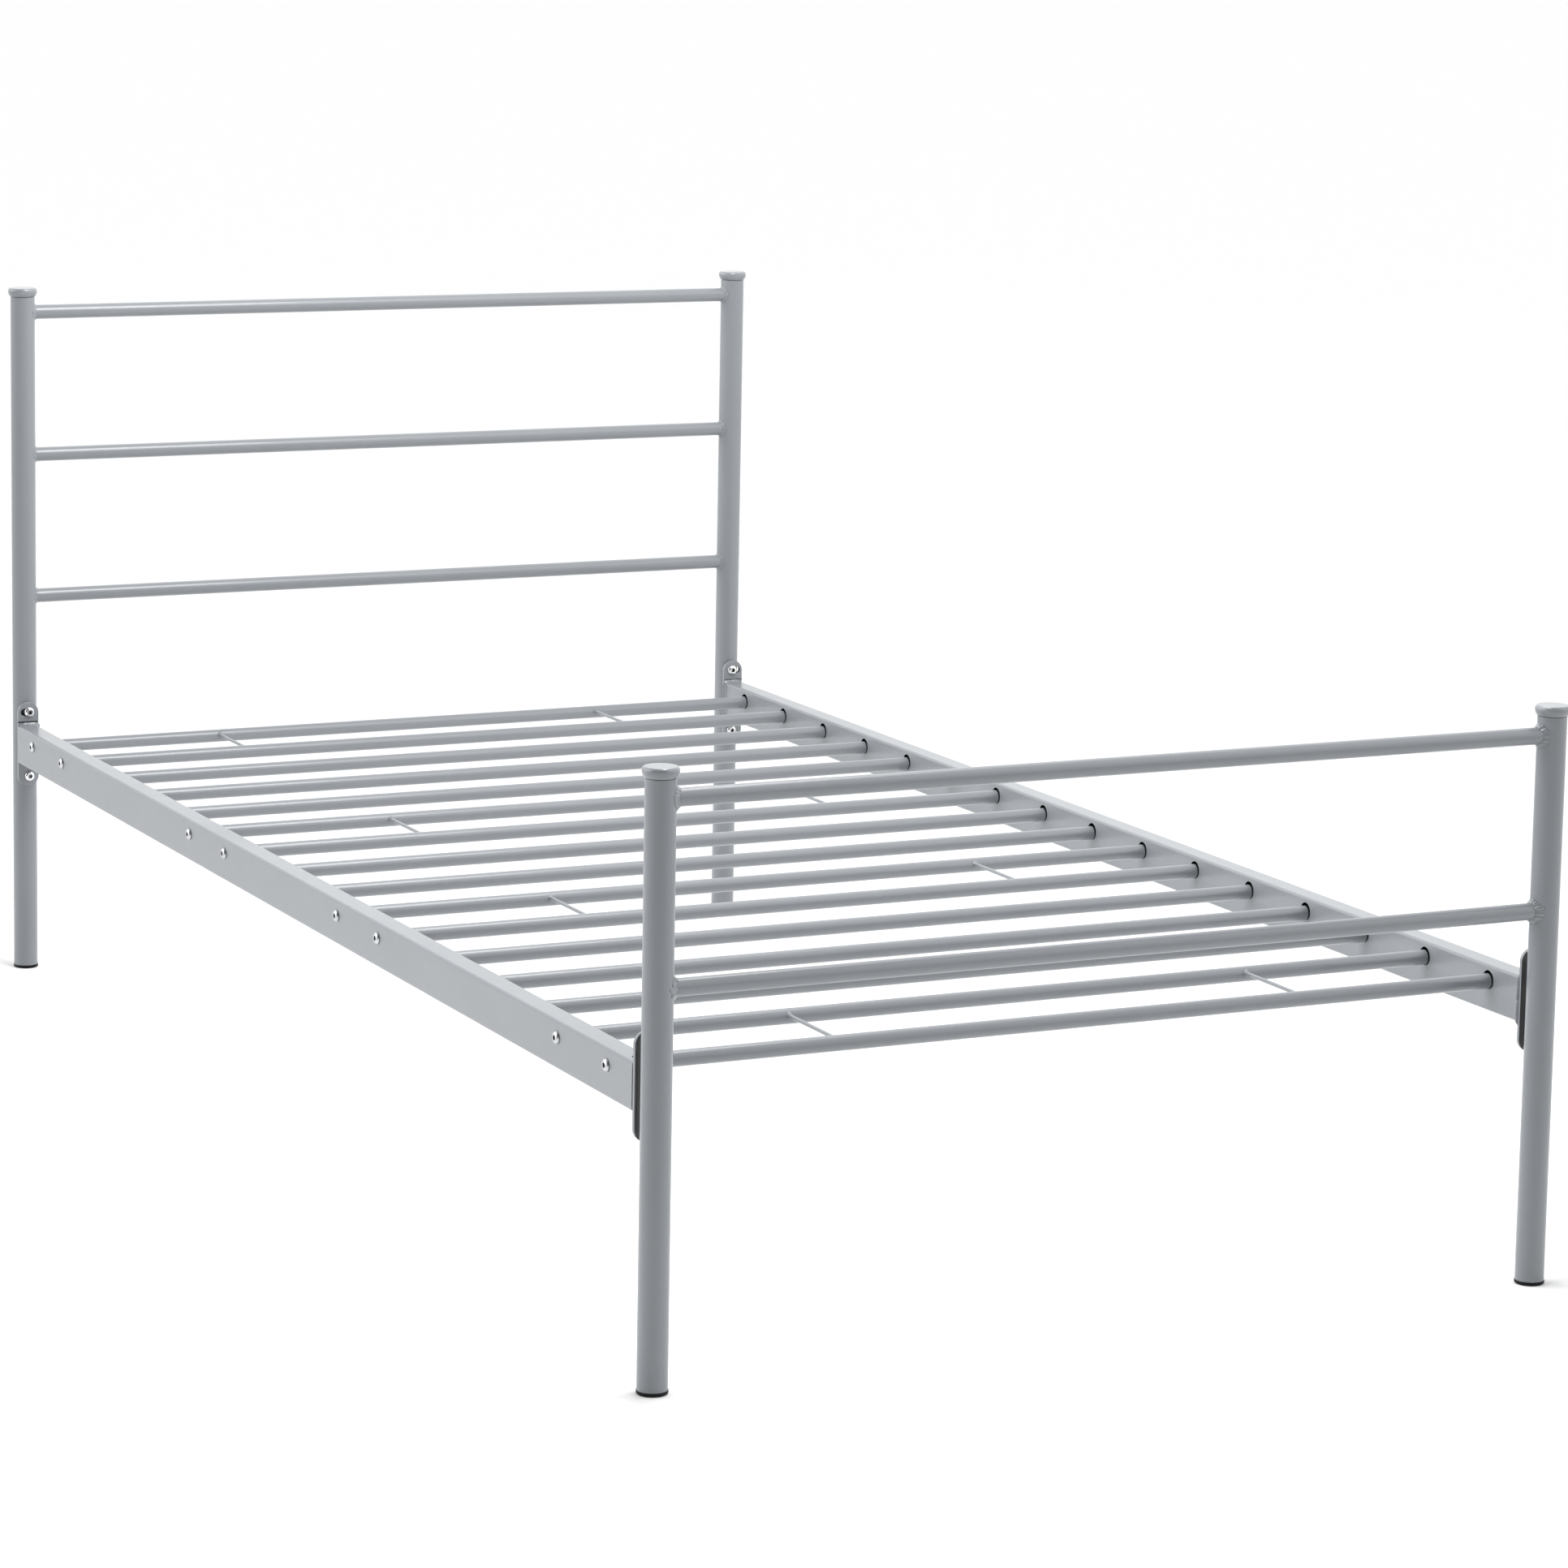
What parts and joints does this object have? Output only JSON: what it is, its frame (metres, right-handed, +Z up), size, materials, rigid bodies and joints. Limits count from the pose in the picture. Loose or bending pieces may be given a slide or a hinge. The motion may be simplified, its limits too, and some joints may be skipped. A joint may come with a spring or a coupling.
{
  "type": "bed frame",
  "caption": "Single metal bed frame: round posts with flat caps, tube headboard and footboard bars, box-section side rails and round tube slats that bolt together.",
  "frame": {"origin": "on the floor, in the middle of the bed's length and width", "axes": "+Z up, +Y towards the headboard, +X to the right for a person who stands at the foot end and looks at the headboard"},
  "size_m": [1.0162, 1.9858, 0.867],
  "materials": {
    "grey_powder_coat": "semi-gloss silver-grey powder coat",
    "zinc_plated_steel": "bright zinc plate",
    "black_plastic": "satin moulded black"
  },
  "bodies": {
    "root": {"brace_wire_1_left": "grey_powder_coat", "brace_wire_1_right": "grey_powder_coat", "brace_wire_2_left": "grey_powder_coat", "brace_wire_2_right": "grey_powder_coat", "brace_wire_3_left": "grey_powder_coat", "brace_wire_3_right": "grey_powder_coat", "brace_wire_4_left": "grey_powder_coat", "brace_wire_4_right": "grey_powder_coat", "foot_plug_foot_left": "black_plastic", "foot_plug_foot_right": "black_plastic", "foot_plug_head_left": "black_plastic", "foot_plug_head_right": "black_plastic", "foot_saddle_left": "black_plastic", "foot_saddle_right": "black_plastic", "footboard_bar_bottom": "grey_powder_coat", "footboard_bar_top": "grey_powder_coat", "headboard_bar_bottom": "grey_powder_coat", "headboard_bar_middle": "grey_powder_coat", "headboard_bar_top": "grey_powder_coat", "plate_bolts_foot": "zinc_plated_steel", "plate_bolts_head": "zinc_plated_steel", "post_cap_foot_left": "grey_powder_coat", "post_cap_foot_right": "grey_powder_coat", "post_cap_head_left": "grey_powder_coat", "post_cap_head_right": "grey_powder_coat", "post_foot_left": "grey_powder_coat", "post_foot_right": "grey_powder_coat", "post_head_left": "grey_powder_coat", "post_head_right": "grey_powder_coat", "rail_plate_foot_left": "grey_powder_coat", "rail_plate_foot_right": "grey_powder_coat", "rail_plate_head_left": "grey_powder_coat", "rail_plate_head_right": "grey_powder_coat", "rivet_nuts_foot": "zinc_plated_steel", "rivet_nuts_head": "zinc_plated_steel", "side_rail_left": "grey_powder_coat", "side_rail_right": "grey_powder_coat", "slat_01": "grey_powder_coat", "slat_02": "grey_powder_coat", "slat_03": "grey_powder_coat", "slat_04": "grey_powder_coat", "slat_05": "grey_powder_coat", "slat_06": "grey_powder_coat", "slat_07": "grey_powder_coat", "slat_08": "grey_powder_coat", "slat_09": "grey_powder_coat", "slat_10": "grey_powder_coat", "slat_11": "grey_powder_coat", "slat_12": "grey_powder_coat", "slat_13": "grey_powder_coat", "slat_14": "grey_powder_coat", "slat_15": "grey_powder_coat", "slat_16": "grey_powder_coat", "slat_bolts_left": "zinc_plated_steel", "slat_bolts_right": "zinc_plated_steel", "slat_inserts_left": "zinc_plated_steel", "slat_inserts_right": "zinc_plated_steel"}
  },
  "joints": []
}
